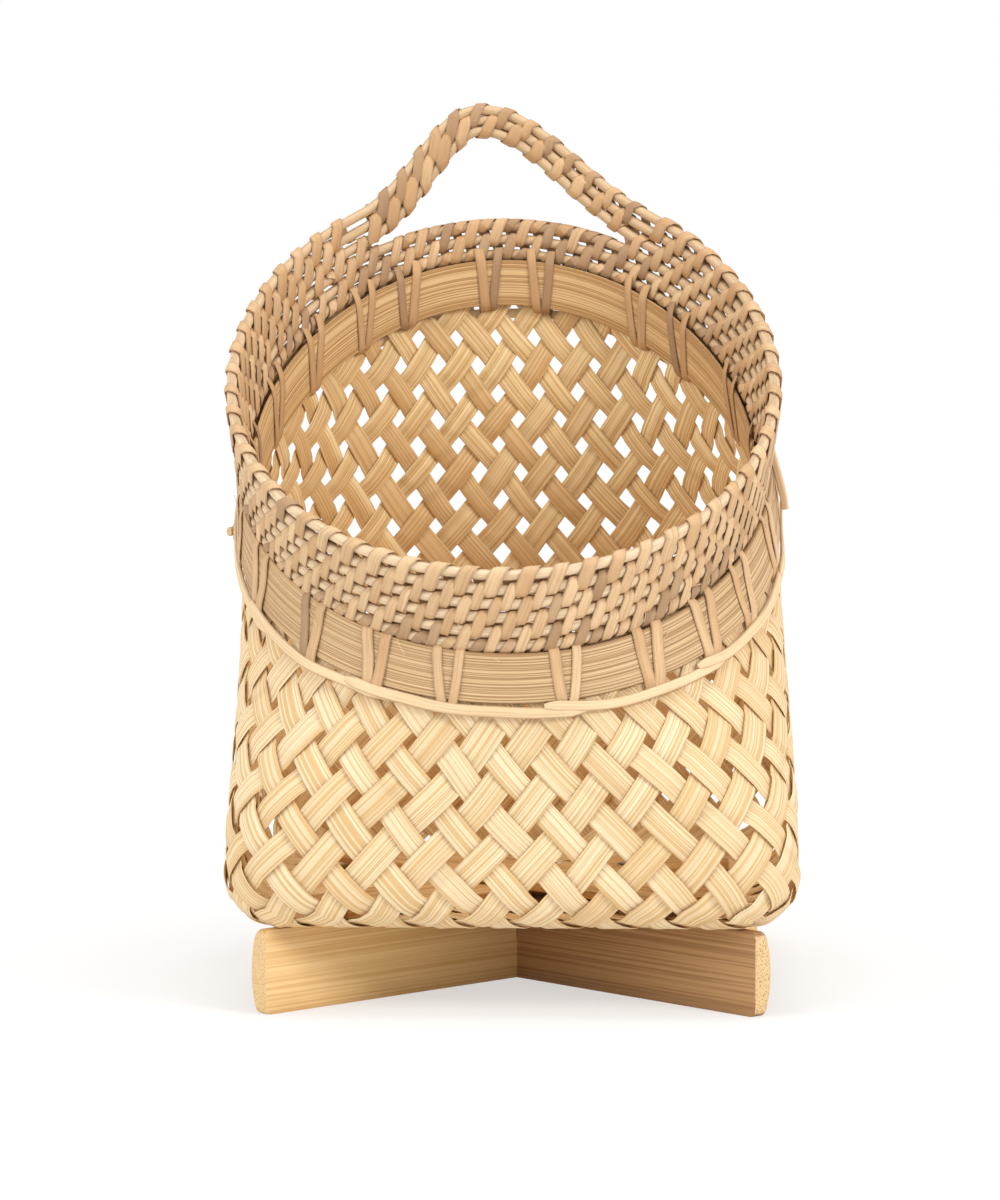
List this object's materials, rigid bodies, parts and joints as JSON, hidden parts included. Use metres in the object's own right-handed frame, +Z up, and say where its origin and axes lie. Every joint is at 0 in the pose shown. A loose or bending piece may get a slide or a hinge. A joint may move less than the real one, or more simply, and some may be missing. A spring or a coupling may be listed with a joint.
{
  "type": "bamboo basket",
  "caption": "Plaited bamboo basket with a square bottom, slanted round mouth, bound rattan border rising into a fixed arched handle, and a crossed slat foot.",
  "frame": {"origin": "middle of the foot, on the surface that the basket stands on", "axes": "+Z up, -Y to the low front of the mouth, +Y to the high back with the handle, +X to the right as seen from the front"},
  "size_m": [0.2587, 0.2541, 0.4034],
  "materials": {
    "bamboo_culm": "satin",
    "bamboo_board": "satin",
    "bamboo_strip": "satin",
    "bamboo_band": "satin",
    "rattan_rod": "satin",
    "rattan_peel": "satin",
    "nail_steel": "satin"
  },
  "bodies": {
    "root": {"foot_slat_right": "bamboo_culm", "bottom_slat_right": "bamboo_board", "nail_right_1": "nail_steel", "nail_right_2": "nail_steel", "foot_slat_left": "bamboo_culm", "bottom_slat_left": "bamboo_board", "nail_left_1": "nail_steel", "nail_left_2": "nail_steel", "strip_right_01": "bamboo_strip", "strip_right_02": "bamboo_strip", "strip_right_03": "bamboo_strip", "strip_right_04": "bamboo_strip", "strip_right_05": "bamboo_strip", "strip_right_06": "bamboo_strip", "strip_right_07": "bamboo_strip", "strip_right_08": "bamboo_strip", "strip_right_09": "bamboo_strip", "strip_right_10": "bamboo_strip", "strip_right_11": "bamboo_strip", "strip_right_12": "bamboo_strip", "strip_right_13": "bamboo_strip", "strip_right_14": "bamboo_strip", "strip_right_15": "bamboo_strip", "strip_right_16": "bamboo_strip", "strip_right_17": "bamboo_strip", "strip_right_18": "bamboo_strip", "strip_right_19": "bamboo_strip", "strip_right_20": "bamboo_strip", "strip_left_01": "bamboo_strip", "strip_left_02": "bamboo_strip", "strip_left_03": "bamboo_strip", "strip_left_04": "bamboo_strip", "strip_left_05": "bamboo_strip", "strip_left_06": "bamboo_strip", "strip_left_07": "bamboo_strip", "strip_left_08": "bamboo_strip", "strip_left_09": "bamboo_strip", "strip_left_10": "bamboo_strip", "strip_left_11": "bamboo_strip", "strip_left_12": "bamboo_strip", "strip_left_13": "bamboo_strip", "strip_left_14": "bamboo_strip", "strip_left_15": "bamboo_strip", "strip_left_16": "bamboo_strip", "strip_left_17": "bamboo_strip", "strip_left_18": "bamboo_strip", "strip_left_19": "bamboo_strip", "strip_left_20": "bamboo_strip", "border_rod_1": "rattan_rod", "border_rod_2": "rattan_rod", "border_rod_3": "rattan_rod", "border_rod_4": "rattan_rod", "border_rod_5": "rattan_rod", "border_rod_6": "rattan_rod", "inner_hoop": "bamboo_band", "outer_hoop": "bamboo_band", "hoop_lashing": "rattan_peel", "handle_wrap": "rattan_peel"}
  },
  "joints": []
}
